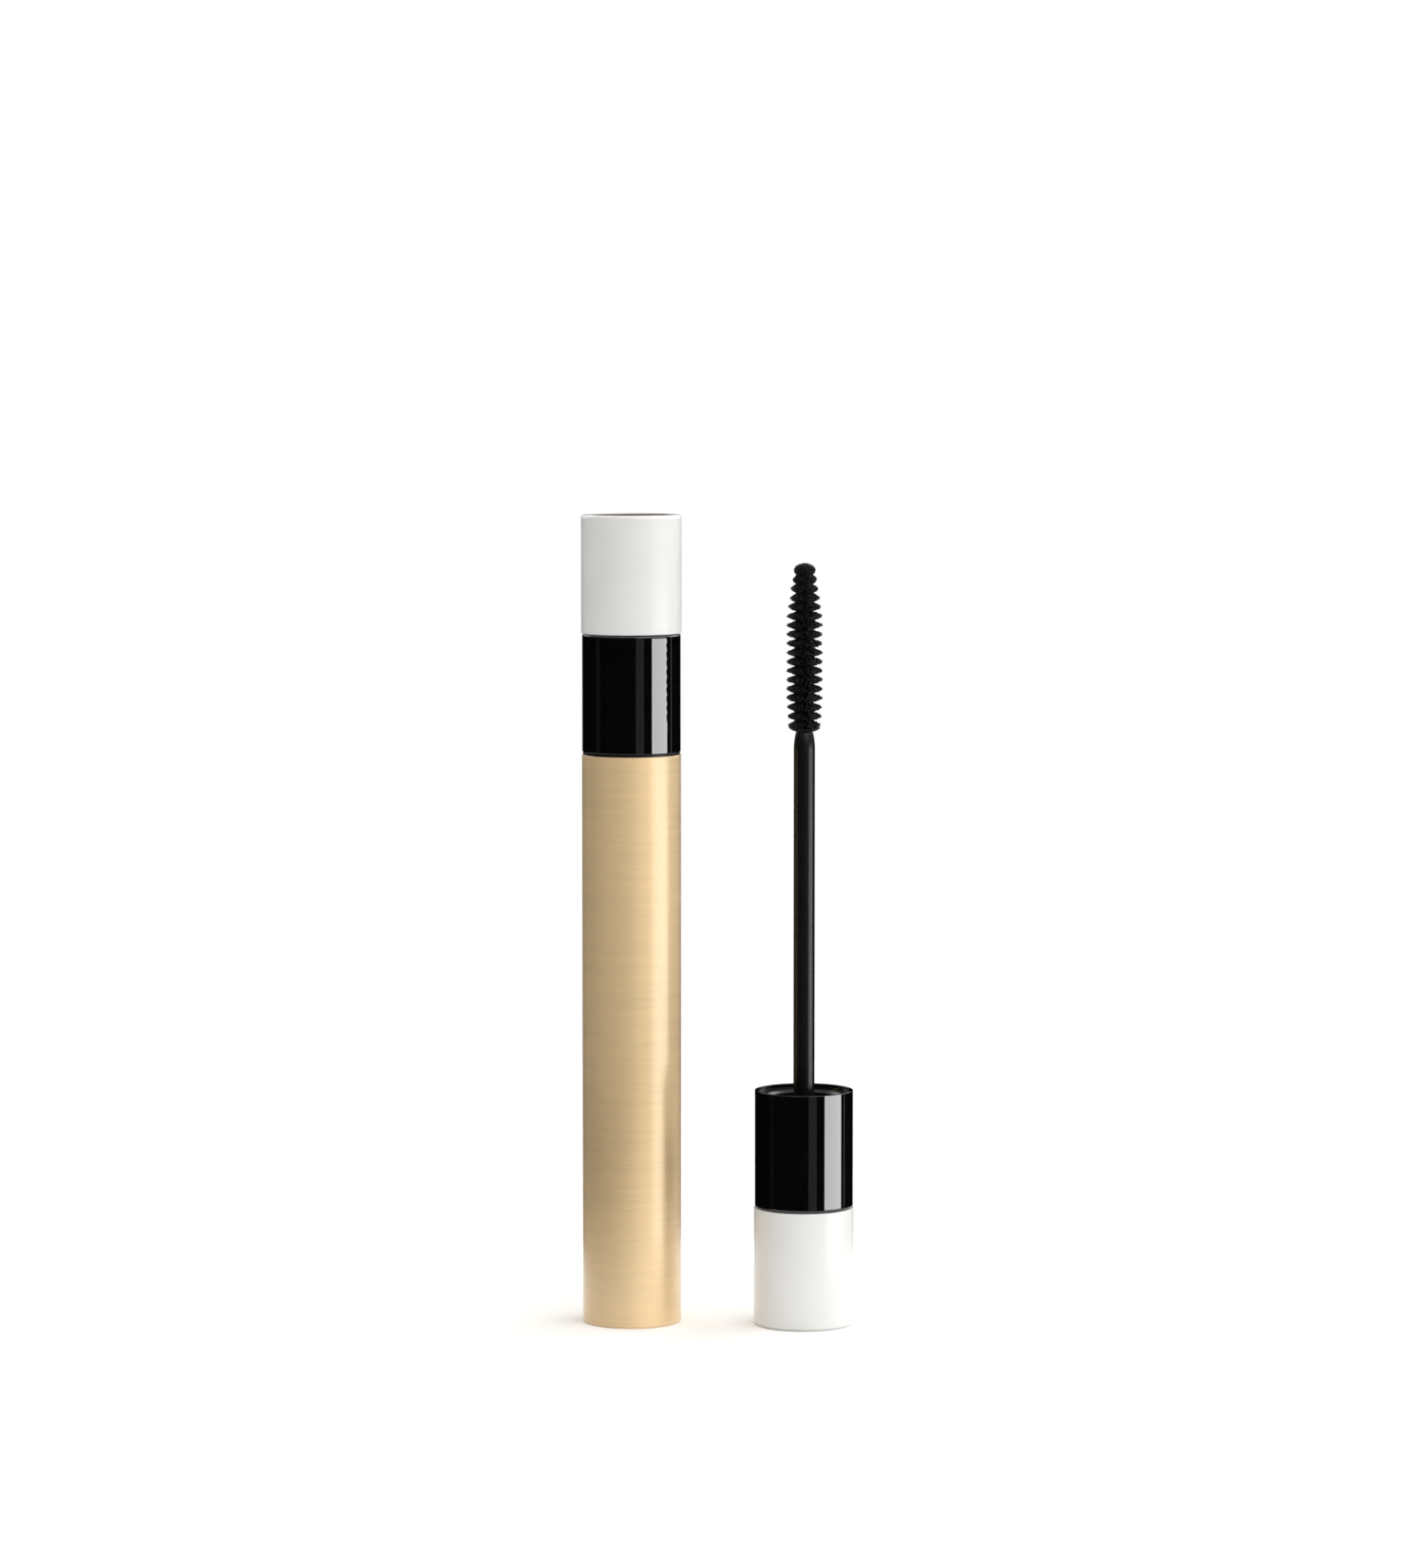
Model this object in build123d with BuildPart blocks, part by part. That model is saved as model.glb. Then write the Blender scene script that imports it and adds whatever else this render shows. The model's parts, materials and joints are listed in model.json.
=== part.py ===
import os

from build123d import *

# A slim mascara tube, and its applicator standing upside down beside it.
# All sizes are in millimetres. The origin is the centre of the tube's base and +Z is up.
# The applicator's heights are counted from the flat end of its cap towards the brush, so
# one set of functions makes both the applicator that closes the tube and the one that
# stands on its cap.

# --- driving dimensions ---------------------------------------------------------------
total_height = 131.2
standing_place = (27.9, -2.5, 0)
fit_gap = 0.05
edge_break = 0.12

# tube
sleeve_radius = 8.0
sleeve_height = 92.5
sleeve_wall = 0.45
sleeve_lip_radius = 6.6
sleeve_base_radius = 0.35
vial_radius = 7.45
vial_floor = 1.45
vial_wall = 1.1
vial_shoulder = 92.0
vial_shoulder_drop = 4.5
vial_throat = 1.65
neck_radius = 4.4
neck_bore_radius = 3.5
neck_top = 103.5
ring_radius = 7.85
ring_top = 92.85
ring_bore_radius = 5.3

# thread between the neck and the inner cap
thread_lead = 3.0
thread_turns = 1.5
neck_crest_radius = 4.9
cap_root_radius = 5.6
cap_crest_radius = 5.0
ridge_root_width = 1.3
ridge_crest_width = 0.5
ridge_rise = 4.0
ridge_buried = 0.1

# wiper and washer
wiper_flange = 0.5
wiper_flange_radius = 4.3
wiper_wall = 0.4
wiper_length = 10.0
wiper_cone = 3.8
wiper_lip = 0.8
washer_thickness = 0.6
washer_radius = 4.35
washer_bore_radius = 2.0

# cap, counted from its flat end
cap_radius = 8.1
cap_length = 19.1
cap_wall = 0.9
cap_end_wall = 1.65
cap_edge_radius = 0.6
badge_seat_radius = 6.9
badge_seat_depth = 0.4
badge_radius = 6.8
badge_thickness = 0.3
badge_ring_width = 0.35
badge_ring_depth = 0.08
badge_rings = (2.6, 4.2, 5.8)
core_wall = 0.8
core_end = 18.9
core_step = 15.6
weight_pocket_radius = 5.4
weight_radius = 5.1
weight_gap = 0.15
weight_chamfer = 0.3

# collar and inner cap
collar_start = 19.2
collar_end = 38.2
collar_radius = 7.95
collar_wall = 0.4
collar_edge_radius = 0.45
inner_cap_end = 37.4
mouth_chamfer = 0.4
plug_radius = 6.3
web_height = 26.4
socket_radius = 2.15
socket_floor = 20.0
socket_gap = 0.3

# stem and brush
stem_radius = 1.71
stem_root_radius = 2.1
stem_taper_start = 93.5
stem_end = 96.3
stem_nose_radius = 1.375
stem_nose_fillet = 0.25
wire_radius = 0.42
wire_seat = 88.5
wire_end = 122.6
wire_gap = 0.03
wire_end_fillet = 0.2
brush_start = 96.32
brush_end = 123.45
brush_radius = 2.95
brush_core_radius = 1.5
row_count = 18
row_pitch = 1.468
first_row = 97.36
row_root_width = 1.15
row_tip_width = 0.4
tip_row_radius = 1.75
tip_row_step = 0.235
stem_row_step = 0.1
stem_rows = 3
least_tooth = 0.3
brush_tip_radius = 0.8
brush_tip_height = 0.1


# --- helpers --------------------------------------------------------------------------
def axis_of(place):
    """The axis that a turned piece is revolved about."""
    return Axis(place.origin, place.z_dir)


def axial_plane(place):
    """A plane that holds the axis: x is the radius and y is the height along the axis."""
    return Plane(origin=place.origin, x_dir=place.x_dir, z_dir=place.x_dir.cross(place.z_dir))


def rim(piece, radius, place, which=0):
    """A circular edge of the given radius, counted along the axis."""
    circles = piece.edges().filter_by(GeomType.CIRCLE)
    same = circles.filter_by(lambda edge: abs(edge.radius - radius) < 0.001)
    return same.sort_by(axis_of(place))[which]


def ridge_path(place, start, radius):
    """The right-hand helix that a thread ridge follows."""
    centre = place.origin + place.z_dir * start
    with BuildLine() as path:
        Helix(thread_lead, thread_turns * thread_lead, radius, center=centre, direction=place.z_dir)
    return path.line


def ridge_section(place, start, path, reach):
    """The ridge's section at the start of its path; reach is inwards where it is negative."""
    centre = place.origin + place.z_dir * start
    buried = -ridge_buried if reach > 0 else ridge_buried
    root = ridge_root_width / 2
    crest = ridge_crest_width / 2
    with BuildSketch(Plane(origin=path @ 0, x_dir=path @ 0 - centre, z_dir=path % 0)) as section:
        with BuildLine():
            Polyline((buried, -root), (reach, -crest), (reach, crest), (buried, root), close=True)
        make_face()
    return section.sketch


def row_radius(row):
    """Brush radius at a row: it narrows towards the tip, and a little towards the stem."""
    from_tip = row_count - 1 - row
    tip_side = tip_row_radius + tip_row_step * from_tip
    stem_side = brush_radius - stem_row_step * max(0, stem_rows - row)
    return min(tip_side, stem_side)


def write(piece, name):
    """Label a finished piece and write it under its node's name."""
    piece.part.label = name
    export_step(piece.part, f"parts/{name}.step")


# --- tube -----------------------------------------------------------------------------
def make_outer_sleeve(place):
    bore = sleeve_radius - sleeve_wall
    with BuildPart() as sleeve:
        with BuildSketch(axial_plane(place)):
            with BuildLine():
                Polyline(
                    (sleeve_lip_radius, 0),
                    (sleeve_radius, 0),
                    (sleeve_radius, sleeve_height),
                    (bore, sleeve_height),
                    (bore, sleeve_wall),
                    (sleeve_lip_radius, sleeve_wall),
                    close=True,
                )
            make_face()
        revolve(axis=axis_of(place))
        fillet(rim(sleeve, sleeve_radius, place), radius=sleeve_base_radius)
        fillet(rim(sleeve, sleeve_radius, place, -1), radius=edge_break)
    write(sleeve, "outer_sleeve")


def make_base_plug(place):
    boss_radius = sleeve_lip_radius - fit_gap
    flange_bottom = sleeve_wall + fit_gap
    with BuildPart() as plug:
        with BuildSketch(axial_plane(place)):
            with BuildLine():
                Polyline(
                    (0, 0),
                    (boss_radius, 0),
                    (boss_radius, flange_bottom),
                    (vial_radius, flange_bottom),
                    (vial_radius, vial_floor - fit_gap),
                    (0, vial_floor - fit_gap),
                    close=True,
                )
            make_face()
        revolve(axis=axis_of(place))
    write(plug, "base_plug")


def make_vial(place):
    inner_radius = vial_radius - vial_wall
    inner_floor = vial_floor + vial_wall
    inner_shoulder = vial_shoulder - vial_throat
    ridge_start = vial_shoulder + ridge_rise
    with BuildPart() as vial:
        with BuildSketch(axial_plane(place)):
            with BuildLine():
                Polyline(
                    (0, vial_floor),
                    (vial_radius, vial_floor),
                    (vial_radius, vial_shoulder),
                    (neck_radius, vial_shoulder),
                    (neck_radius, neck_top),
                    (neck_bore_radius, neck_top),
                    (neck_bore_radius, inner_shoulder),
                    (inner_radius, inner_shoulder - vial_shoulder_drop),
                    (inner_radius, inner_floor),
                    (0, inner_floor),
                    close=True,
                )
            make_face()
        revolve(axis=axis_of(place))
        fillet(rim(vial, inner_radius, place), radius=vial_wall)
        path = ridge_path(place, ridge_start, neck_radius)
        section = ridge_section(place, ridge_start, path, neck_crest_radius - neck_radius)
        sweep(section, path=path, is_frenet=True)
    write(vial, "vial")


def make_shoulder_ring(place):
    seat = vial_shoulder + fit_gap
    flange_bottom = sleeve_height + fit_gap
    with BuildPart() as ring:
        with BuildSketch(axial_plane(place)):
            with BuildLine():
                Polyline(
                    (ring_bore_radius, seat),
                    (vial_radius, seat),
                    (vial_radius, flange_bottom),
                    (ring_radius, flange_bottom),
                    (ring_radius, ring_top),
                    (ring_bore_radius, ring_top),
                    close=True,
                )
            make_face()
        revolve(axis=axis_of(place))
        fillet(rim(ring, ring_radius, place, -1), radius=edge_break)
    write(ring, "shoulder_ring")


def make_wiper(place):
    outer_radius = neck_bore_radius - fit_gap
    orifice_radius = stem_radius + fit_gap
    cone_top = neck_top - wiper_length
    lip_top = cone_top - wiper_cone
    with BuildPart() as wiper:
        with BuildSketch(axial_plane(place)):
            with BuildLine():
                Polyline(
                    (outer_radius - wiper_wall, neck_top + wiper_flange),
                    (wiper_flange_radius, neck_top + wiper_flange),
                    (wiper_flange_radius, neck_top),
                    (outer_radius, neck_top),
                    (outer_radius, cone_top),
                    (orifice_radius + wiper_wall, lip_top),
                    (orifice_radius + wiper_wall, lip_top - wiper_lip),
                    (orifice_radius, lip_top - wiper_lip),
                    (orifice_radius, lip_top),
                    (outer_radius - wiper_wall, cone_top),
                    close=True,
                )
            make_face()
        revolve(axis=axis_of(place))
    write(wiper, "wiper")


# --- applicator -----------------------------------------------------------------------
def make_cap_shell(place, prefix):
    bore = cap_radius - cap_wall
    with BuildPart() as shell:
        with BuildSketch(axial_plane(place)):
            with BuildLine():
                Polyline(
                    (0, badge_seat_depth),
                    (badge_seat_radius, badge_seat_depth),
                    (badge_seat_radius, 0),
                    (cap_radius, 0),
                    (cap_radius, cap_length),
                    (bore, cap_length),
                    (bore, cap_end_wall),
                    (0, cap_end_wall),
                    close=True,
                )
            make_face()
        revolve(axis=axis_of(place))
        fillet(rim(shell, cap_radius, place), radius=cap_edge_radius)
        fillet(rim(shell, cap_radius, place, -1), radius=edge_break)
    write(shell, prefix + "cap_shell")


def make_cap_badge(place, prefix):
    face = badge_seat_depth - badge_thickness
    with BuildPart() as badge:
        with BuildSketch(axial_plane(place)):
            with BuildLine():
                Polyline(
                    (0, face),
                    (badge_radius, face),
                    (badge_radius, badge_seat_depth),
                    (0, badge_seat_depth),
                    close=True,
                )
            make_face()
        revolve(axis=axis_of(place))
        fillet(rim(badge, badge_radius, place), radius=edge_break)
        for inner in badge_rings:
            outer = inner + badge_ring_width
            floor = face + badge_ring_depth
            with BuildSketch(axial_plane(place)):
                with BuildLine():
                    Polyline(
                        (inner, face),
                        (outer, face),
                        (outer, floor),
                        (inner, floor),
                        close=True,
                    )
                make_face()
            revolve(axis=axis_of(place), mode=Mode.SUBTRACT)
    write(badge, prefix + "cap_badge")


def make_cap_core(place, prefix):
    outer_radius = cap_radius - cap_wall - fit_gap
    start = cap_end_wall + fit_gap
    plug_bore = plug_radius + fit_gap
    with BuildPart() as core:
        with BuildSketch(axial_plane(place)):
            with BuildLine():
                Polyline(
                    (0, start),
                    (outer_radius, start),
                    (outer_radius, core_end),
                    (plug_bore, core_end),
                    (plug_bore, core_step),
                    (weight_pocket_radius, core_step),
                    (weight_pocket_radius, start + core_wall),
                    (0, start + core_wall),
                    close=True,
                )
            make_face()
        revolve(axis=axis_of(place))
    write(core, prefix + "cap_core")


def make_cap_weight(place, prefix):
    start = cap_end_wall + fit_gap + core_wall + weight_gap
    end = core_step - weight_gap
    with BuildPart() as weight:
        with BuildSketch(axial_plane(place)):
            with BuildLine():
                Polyline((0, start), (weight_radius, start), (weight_radius, end), (0, end), close=True)
            make_face()
        revolve(axis=axis_of(place))
        chamfer(rim(weight, weight_radius, place), length=weight_chamfer)
        chamfer(rim(weight, weight_radius, place, -1), length=weight_chamfer)
    write(weight, prefix + "cap_weight")


def make_collar(place, prefix):
    bore = collar_radius - collar_wall
    flange_bore = plug_radius + 2 * fit_gap
    with BuildPart() as collar:
        with BuildSketch(axial_plane(place)):
            with BuildLine():
                Polyline(
                    (flange_bore, collar_start),
                    (collar_radius, collar_start),
                    (collar_radius, collar_end),
                    (bore, collar_end),
                    (bore, collar_start + collar_wall),
                    (flange_bore, collar_start + collar_wall),
                    close=True,
                )
            make_face()
        revolve(axis=axis_of(place))
        fillet(rim(collar, collar_radius, place), radius=collar_edge_radius)
        fillet(rim(collar, collar_radius, place, -1), radius=edge_break)
    write(collar, prefix + "collar")


def make_inner_cap(place, prefix):
    outer_radius = collar_radius - collar_wall - fit_gap
    shoulder = collar_start + collar_wall + fit_gap
    ridge_start = web_height + ridge_rise
    with BuildPart() as cap:
        with BuildSketch(axial_plane(place)):
            with BuildLine():
                Polyline(
                    (0, core_step + fit_gap),
                    (plug_radius, core_step + fit_gap),
                    (plug_radius, shoulder),
                    (outer_radius, shoulder),
                    (outer_radius, inner_cap_end),
                    (cap_root_radius, inner_cap_end),
                    (cap_root_radius, web_height),
                    (socket_radius, web_height),
                    (socket_radius, socket_floor),
                    (0, socket_floor),
                    close=True,
                )
            make_face()
        revolve(axis=axis_of(place))
        chamfer(rim(cap, cap_root_radius, place, -1), length=mouth_chamfer)
        path = ridge_path(place, ridge_start, cap_root_radius)
        section = ridge_section(place, ridge_start, path, cap_crest_radius - cap_root_radius)
        sweep(section, path=path, is_frenet=True)
    write(cap, prefix + "inner_cap")


def make_sealing_washer(place, prefix, start):
    end = start + washer_thickness
    with BuildPart() as washer:
        with BuildSketch(axial_plane(place)):
            with BuildLine():
                Polyline(
                    (washer_bore_radius, start),
                    (washer_radius, start),
                    (washer_radius, end),
                    (washer_bore_radius, end),
                    close=True,
                )
            make_face()
        revolve(axis=axis_of(place))
    write(washer, prefix + "sealing_washer")


def make_stem(place, prefix):
    root_start = socket_floor + socket_gap
    root_end = web_height - socket_gap
    bore = wire_radius + wire_gap
    with BuildPart() as stem:
        with BuildSketch(axial_plane(place)):
            with BuildLine():
                Polyline(
                    (bore, stem_end),
                    (bore, wire_seat - fit_gap),
                    (0, wire_seat - fit_gap),
                    (0, root_start),
                    (stem_root_radius, root_start),
                    (stem_root_radius, root_end),
                    (stem_radius, root_end),
                    (stem_radius, stem_taper_start),
                )
                taper = ((stem_radius, stem_taper_start), (stem_nose_radius, stem_end))
                TangentArc(*taper, tangent=(0, 1))
                Line((stem_nose_radius, stem_end), (bore, stem_end))
            make_face()
        revolve(axis=axis_of(place))
        fillet(rim(stem, stem_nose_radius, place), radius=stem_nose_fillet)
    write(stem, prefix + "stem")


def make_brush_wire(place, prefix):
    with BuildPart() as wire:
        with BuildSketch(axial_plane(place)):
            with BuildLine():
                Polyline(
                    (0, wire_seat),
                    (wire_radius, wire_seat),
                    (wire_radius, wire_end),
                    (0, wire_end),
                    close=True,
                )
            make_face()
        revolve(axis=axis_of(place))
        fillet(rim(wire, wire_radius, place, -1), radius=wire_end_fillet)
    write(wire, prefix + "brush_wire")


def make_bristles(place, prefix):
    bore = wire_radius + wire_gap
    outline = [(0, wire_end + fit_gap), (bore, wire_end + fit_gap), (bore, brush_start)]
    outline.append((brush_core_radius, brush_start))
    for row in range(row_count):
        height = first_row + row * row_pitch
        radius = row_radius(row)
        core = min(brush_core_radius, radius - least_tooth)
        outline.append((core, height - row_root_width / 2))
        outline.append((radius, height - row_tip_width / 2))
        outline.append((radius, height + row_tip_width / 2))
        outline.append((core, height + row_root_width / 2))
    outline.append((brush_tip_radius, brush_end - brush_tip_height))
    outline.append((0, brush_end))
    with BuildPart() as bristles:
        with BuildSketch(axial_plane(place)):
            with BuildLine():
                Polyline(*outline, close=True)
            make_face()
        revolve(axis=axis_of(place))
    write(bristles, prefix + "bristles")


def make_applicator(place, prefix, washer_start):
    make_cap_shell(place, prefix)
    make_cap_badge(place, prefix)
    make_cap_core(place, prefix)
    make_cap_weight(place, prefix)
    make_collar(place, prefix)
    make_inner_cap(place, prefix)
    make_sealing_washer(place, prefix, washer_start)
    make_stem(place, prefix)
    make_brush_wire(place, prefix)
    make_bristles(place, prefix)


# --- assembly -------------------------------------------------------------------------
os.makedirs("parts", exist_ok=True)

tube = Plane.XY
make_outer_sleeve(tube)
make_base_plug(tube)
make_vial(tube)
make_shoulder_ring(tube)
make_wiper(tube)

# closed: the cap's flat end is up and the washer lies on the wiper's flange
closed = Plane(origin=(0, 0, total_height), x_dir=(1, 0, 0), z_dir=(0, 0, -1))
flange_height = total_height - neck_top - wiper_flange
make_applicator(closed, "", flange_height - washer_thickness)

# standing: the cap's flat end is on the table and the washer lies on the inner cap's web
standing = Plane(origin=standing_place, x_dir=(1, 0, 0), z_dir=(0, 0, 1))
make_applicator(standing, "standing_", web_height)
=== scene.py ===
import json
import math

import bmesh
import bpy
from mathutils import Matrix, Vector


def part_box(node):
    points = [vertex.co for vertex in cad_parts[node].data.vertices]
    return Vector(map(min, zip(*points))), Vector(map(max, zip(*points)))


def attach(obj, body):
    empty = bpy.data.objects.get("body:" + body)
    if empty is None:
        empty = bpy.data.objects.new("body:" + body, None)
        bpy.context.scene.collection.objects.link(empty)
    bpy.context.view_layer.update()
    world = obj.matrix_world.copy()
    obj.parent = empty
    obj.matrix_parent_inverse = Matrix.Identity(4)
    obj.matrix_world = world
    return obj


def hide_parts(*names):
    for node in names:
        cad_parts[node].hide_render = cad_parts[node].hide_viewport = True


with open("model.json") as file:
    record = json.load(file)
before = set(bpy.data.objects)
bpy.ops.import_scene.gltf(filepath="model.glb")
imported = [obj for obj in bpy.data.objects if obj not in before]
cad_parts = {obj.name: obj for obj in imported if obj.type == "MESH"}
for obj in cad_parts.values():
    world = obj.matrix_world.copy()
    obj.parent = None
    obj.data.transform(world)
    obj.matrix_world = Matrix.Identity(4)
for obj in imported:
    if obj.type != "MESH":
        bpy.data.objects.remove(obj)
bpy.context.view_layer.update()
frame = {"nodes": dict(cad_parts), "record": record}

MM = 0.001


# --- node trees -----------------------------------------------------------------------
class Signal:
    """A socket in a node tree. Arithmetic on signals and numbers adds Math nodes."""

    def __init__(self, graph, socket):
        self.graph = graph
        self.socket = socket

    def maths(self, operation, *values):
        """A Math node on the given signals and numbers."""
        node = self.graph.node("ShaderNodeMath", {"operation": operation}, dict(enumerate(values)))
        return node["Value"]

    def __add__(self, other):
        return self.maths("ADD", self, other)

    def __radd__(self, other):
        return self.maths("ADD", other, self)

    def __sub__(self, other):
        return self.maths("SUBTRACT", self, other)

    def __rsub__(self, other):
        return self.maths("SUBTRACT", other, self)

    def __mul__(self, other):
        return self.maths("MULTIPLY", self, other)

    def __rmul__(self, other):
        return self.maths("MULTIPLY", other, self)

    def __truediv__(self, other):
        return self.maths("DIVIDE", self, other)

    def __rtruediv__(self, other):
        return self.maths("DIVIDE", other, self)

    def __pow__(self, other):
        return self.maths("POWER", self, other)

    def __neg__(self):
        return self.maths("MULTIPLY", self, -1.0)

    def __abs__(self):
        return self.maths("ABSOLUTE", self)

    def least(self, other):
        return self.maths("MINIMUM", self, other)

    def most(self, other):
        return self.maths("MAXIMUM", self, other)

    def below(self, limit):
        """1 where this is less than limit, else 0."""
        return self.maths("LESS_THAN", self, limit)

    def whole(self):
        """The nearest whole number."""
        return self.maths("ROUND", self)

    def cos(self):
        return self.maths("COSINE", self)

    def sin(self):
        return self.maths("SINE", self)

    def ramp(self, low, high):
        """0 below low, 1 above high, smooth between."""
        values = {"Value": self, "From Min": low, "From Max": high}
        return self.graph.node("ShaderNodeMapRange", {"interpolation_type": "SMOOTHSTEP"}, values)["Result"]


class Made:
    """A node that was added: its outputs are read by name or by number."""

    def __init__(self, graph, node):
        self.graph = graph
        self.node = node

    def __getitem__(self, name):
        return Signal(self.graph, self.node.outputs[name])


class Graph:
    """One node tree, filled from Python."""

    def __init__(self, tree):
        self.tree = tree
        tree.nodes.clear()

    def node(self, kind, settings=None, values=None):
        """Add a node: its settings first, then what its sockets hold or are linked to."""
        node = self.tree.nodes.new(kind)
        for name, value in (settings or {}).items():
            setattr(node, name, value)
        for name, value in (values or {}).items():
            socket = self.find(node, name)
            if isinstance(value, Signal):
                self.tree.links.new(value.socket, socket)
            else:
                socket.default_value = value
        return Made(self, node)

    @staticmethod
    def find(node, name):
        """An input by its number, its identifier or its name."""
        if isinstance(name, int):
            return node.inputs[name]
        for socket in node.inputs:
            if socket.identifier == name:
                return socket
        return node.inputs[name]

    def blend(self, first, second, factor):
        """A colour from first to second."""
        values = {"Factor_Float": factor, "A_Color": first, "B_Color": second}
        mix = self.node("ShaderNodeMix", {"data_type": "RGBA"}, values)
        return Signal(self, next(s for s in mix.node.outputs if s.identifier == "Result_Color"))

    def noise(self, vector, scale, detail=2.0, roughness=0.5):
        """A cloudy pattern from 0 to 1; scale is the number of clouds to the metre."""
        values = {"Vector": vector, "Scale": scale, "Detail": detail, "Roughness": roughness}
        return self.node("ShaderNodeTexNoise", {"noise_dimensions": "3D"}, values)["Fac"]

    def stretch(self, vector, scale):
        """The vector times a scale for each axis."""
        values = {"Vector": vector, "Scale": scale}
        return self.node("ShaderNodeMapping", {"vector_type": "POINT"}, values)["Vector"]


# --- finishes -------------------------------------------------------------------------
class Finish:
    """A material with a Principled shader. Its patterns lie on Object coordinates, in metres."""

    def __init__(self, name, **constants):
        self.material = bpy.data.materials.new(name)
        self.material.use_nodes = True
        self.graph = Graph(self.material.node_tree)
        self.shader = self.graph.node("ShaderNodeBsdfPrincipled")
        self.graph.node("ShaderNodeOutputMaterial", None, {"Surface": self.shader["BSDF"]})
        self.where = self.graph.node("ShaderNodeTexCoord")["Object"]
        for socket, value in constants.items():
            self.set(socket.replace("_", " "), value)

    def set(self, socket, value):
        target = self.shader.node.inputs[socket]
        if isinstance(value, Signal):
            self.graph.tree.links.new(value.socket, target)
        else:
            target.default_value = value

    def bump(self, height, distance, strength=1.0):
        values = {"Height": height, "Distance": distance, "Strength": strength}
        self.set("Normal", self.graph.node("ShaderNodeBump", None, values)["Normal"])


def champagne_metal():
    """Anodised aluminium, brushed round the tube: fine lines that run level and break up."""
    finish = Finish("champagne_metal", Metallic=1.0, Anisotropic=0.6, Anisotropic_Rotation=0.25)
    finish.set("Coat Weight", 1.0)
    finish.set("Coat IOR", 1.6)
    finish.set("Coat Roughness", 0.28)
    graph = finish.graph
    lines = graph.noise(graph.stretch(finish.where, BRUSHED_LINES), 1.0, 3.0, 0.6)
    streaks = graph.noise(graph.stretch(finish.where, BRUSHED_STREAKS), 1.0, 2.0)
    brushed = 0.65 * lines + 0.35 * streaks
    cut = brushed.ramp(0.3, 0.7)
    finish.set("Base Color", graph.blend(GOLD_DARK, GOLD_LIGHT, cut))
    finish.set("Roughness", 0.6 + 0.1 * cut)
    finish.bump(brushed, 0.003 * MM)
    return finish.material


def white_lacquer():
    """Smooth white lacquer with the slightest orange peel."""
    finish = Finish("white_lacquer", Coat_Weight=0.25, Coat_Roughness=0.12)
    graph = finish.graph
    peel = graph.noise(finish.where, 900.0, 2.0)
    cloud = graph.noise(finish.where, 60.0, 2.0)
    finish.set("Base Color", graph.blend(WHITE_SHADE, WHITE_LIGHT, cloud.ramp(0.35, 0.65)))
    finish.set("Roughness", 0.3 + 0.06 * peel)
    finish.bump(peel, 0.003 * MM)
    return finish.material


def black_lacquer():
    """Deep gloss lacquer: a black base under a hard clear surface."""
    finish = Finish("black_lacquer", Specular_IOR_Level=1.0)
    graph = finish.graph
    peel = graph.noise(finish.where, 350.0, 1.0)
    wipe = graph.noise(graph.stretch(finish.where, WIPE_MARKS), 1.0, 2.0)
    finish.set("Base Color", graph.blend(LACQUER_DARK, LACQUER_LIGHT, wipe))
    finish.set("Roughness", 0.035 + 0.03 * wipe.ramp(0.45, 0.75))
    finish.bump(peel, 0.0006 * MM)
    return finish.material


def black_moulding(name, sheen, grain):
    """Satin black plastic: sheen is its roughness, grain the moulded texture's scale."""
    finish = Finish(name, Specular_IOR_Level=0.35)
    graph = finish.graph
    fine = graph.noise(finish.where, grain, 3.0)
    broad = graph.noise(finish.where, 90.0, 2.0)
    finish.set("Base Color", graph.blend(MOULDING_DARK, MOULDING_LIGHT, broad))
    finish.set("Roughness", sheen - 0.05 + 0.1 * fine)
    finish.bump(fine, 0.004 * MM)
    return finish.material


def turned_badge():
    """Rose-brown metal with the fine rings of a turned face."""
    finish = Finish("turned_badge", Metallic=1.0)
    graph = finish.graph
    parts = graph.node("ShaderNodeSeparateXYZ", None, {"Vector": finish.where})
    on_standing = abs(parts["X"] - STANDING_X).below(STANDING_X / 2)
    x = parts["X"] - STANDING_X * on_standing
    y = parts["Y"] - STANDING_Y * on_standing
    radius = (x * x + y * y) ** 0.5
    ring = (radius * (2 * math.pi / TURNING_PITCH)).sin()
    cloud = graph.noise(finish.where, 300.0, 2.0)
    finish.set("Base Color", graph.blend(BADGE_DARK, BADGE_LIGHT, cloud))
    finish.set("Roughness", 0.26 + 0.08 * cloud + 0.03 * ring)
    finish.bump(ring, 0.004 * MM)
    return finish.material


def natural_moulding():
    """Unpigmented moulding, slightly cloudy."""
    finish = Finish("natural_moulding", Subsurface_Weight=0.15, Subsurface_Scale=0.4 * MM)
    graph = finish.graph
    cloud = graph.noise(finish.where, 140.0, 3.0)
    finish.set("Base Color", graph.blend(NATURAL_DARK, NATURAL_LIGHT, cloud))
    finish.set("Roughness", 0.32 + 0.12 * cloud)
    finish.bump(graph.noise(finish.where, 1500.0), 0.003 * MM)
    return finish.material


def wiper_moulding():
    """Soft grey moulding, stained black by the formula towards its lip."""
    finish = Finish("wiper_moulding")
    graph = finish.graph
    height = graph.node("ShaderNodeSeparateXYZ", None, {"Vector": finish.where})["Z"]
    blotch = graph.noise(finish.where, 900.0, 3.0)
    clean = (height + 1.5 * MM * blotch).ramp(neck_top - 2.5 * MM, neck_top + 1.0 * MM)
    finish.set("Base Color", graph.blend(DRIED_FORMULA, WIPER_GREY, clean))
    finish.set("Roughness", 0.25 + 0.25 * clean)
    finish.bump(blotch, 0.01 * MM)
    return finish.material


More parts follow.
